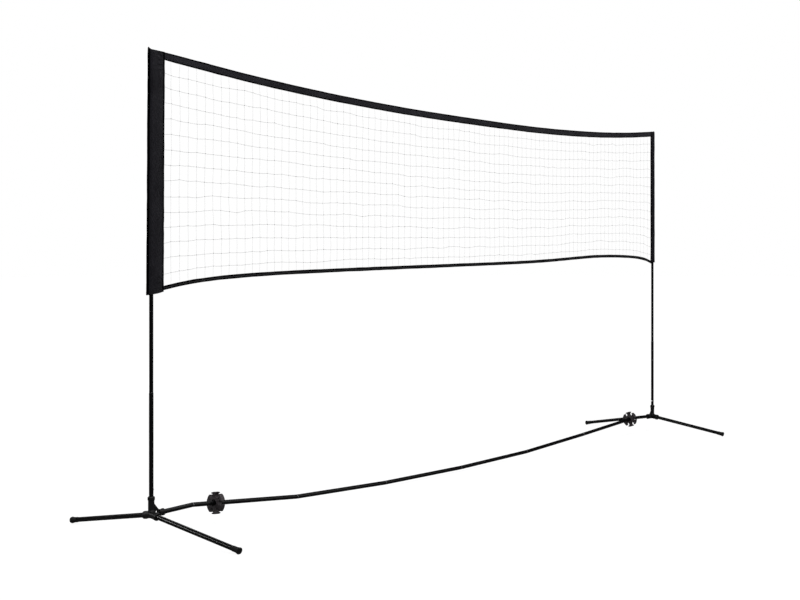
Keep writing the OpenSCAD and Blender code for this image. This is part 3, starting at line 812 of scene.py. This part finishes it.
floor_mesh = bpy.data.meshes.new("floor")
half = 60.0
floor_mesh.from_pydata([(-half, -half, -0.0004), (half, -half, -0.0004), (half, half, -0.0004), (-half, half, -0.0004)], [], [(0, 1, 2, 3)])
floor = bpy.data.objects.new("floor", floor_mesh)
bpy.context.scene.collection.objects.link(floor)
m, tree, bsdf = new_material("studio_floor")
net = Net(tree)
path = net.node("ShaderNodeLightPath")
bsdf.inputs["Base Color"].default_value = (0.16, 0.16, 0.16, 1)
bsdf.inputs["Roughness"].default_value = 0.9
bsdf.inputs["Specular IOR Level"].default_value = 0.05
# the camera sees the floor as an evenly lit pale sheet that keeps a trace of contact shadow and meets the background without an edge
far = net.node("ShaderNodeVectorMath", {0: net.position()}, operation="LENGTH").outputs["Value"]
even = net.node("ShaderNodeMapRange", {"Value": far, "From Min": 2.4, "From Max": 5.0, "To Min": 0.9, "To Max": 1.0}, interpolation_type="SMOOTHSTEP")
net.feed(bsdf.inputs["Emission Color"], (1, 1, 1, 1))
net.feed(bsdf.inputs["Emission Strength"], net.math("MULTIPLY", path.outputs["Is Camera Ray"], even.outputs[0]))
floor_mesh.materials.append(m)

world = bpy.data.worlds.new("studio")
bpy.context.scene.world = world
world.use_nodes = True
tree = world.node_tree
tree.nodes.clear()
net = Net(tree)
path = net.node("ShaderNodeLightPath")
shown = net.node("ShaderNodeBackground", {"Color": (1, 1, 1, 1), "Strength": 1.0})
lit = net.node("ShaderNodeBackground", {"Color": (0.96, 0.98, 1, 1), "Strength": 0.025})
mixer = net.node("ShaderNodeMixShader")
net.feed(mixer.inputs[0], path.outputs["Is Camera Ray"])
net.feed(mixer.inputs[1], lit)
net.feed(mixer.inputs[2], shown)
out = net.node("ShaderNodeOutputWorld")
net.feed(out.inputs[0], mixer)


def area(name, place, target, size, watts, colour=(1, 1, 1)):
    light = bpy.data.lights.new(name, "AREA")
    light.shape = "RECTANGLE"
    light.size, light.size_y = size
    light.energy = watts
    light.color = colour
    o = bpy.data.objects.new(name, light)
    o.location = place
    o.rotation_mode = "QUATERNION"
    o.rotation_quaternion = (Vector(target) - Vector(place)).to_track_quat("-Z", "Y")
    o.visible_camera = False
    bpy.context.scene.collection.objects.link(o)
    return o


area("top_softbox", (0.0, -1.2, 4.6), (0, 0, 0.5), (7.0, 2.4), 190)
area("key_softbox", (-4.6, -4.2, 3.6), (-0.6, 0, 0.7), (2.6, 2.6), 120)
area("fill_softbox", (3.4, -4.6, 2.6), (0.4, 0, 0.6), (3.0, 2.5), 55)
area("back_softbox", (0.5, 5.0, 3.6), (0, 0, 0.4), (7.0, 1.4), 75)
area("side_strip", (-4.1, 3.1, 1.9), (0, -0.3, 0.1), (0.9, 0.3), 42)

cam_data = bpy.data.cameras.new("camera")
camera = bpy.data.objects.new("camera", cam_data)
bpy.context.scene.collection.objects.link(camera)
bpy.context.scene.camera = camera
CAM = Vector((-4.076306, -3.420449, 0.877548))
YAW = 0.5796
camera.location = CAM
camera.rotation_euler = (math.pi / 2, 0, YAW - math.pi / 2)
cam_data.sensor_width = 36.0
cam_data.lens = 1262.9441 * 36.0 / 800.0
cam_data.clip_start, cam_data.clip_end = 0.05, 200.0
# The lens is shifted only where the camera stands for the main view; moved anywhere else, it looks straight ahead.
for channel, amount in (("shift_x", -0.265878), ("shift_y", -0.048421)):
    drv = cam_data.driver_add(channel).driver
    drv.type = "SCRIPTED"
    var = drv.variables.new()
    var.name = "px"
    var.type = "TRANSFORMS"
    var.targets[0].id = camera
    var.targets[0].transform_type = "LOC_X"
    var.targets[0].transform_space = "WORLD_SPACE"
    drv.expression = f"{amount} if abs(px - {CAM.x:.5f}) < 0.0005 else 0.0"

bpy.context.scene.view_settings.view_transform = "Standard"
bpy.context.scene.view_settings.look = "None"

bpy.context.view_layer.update()
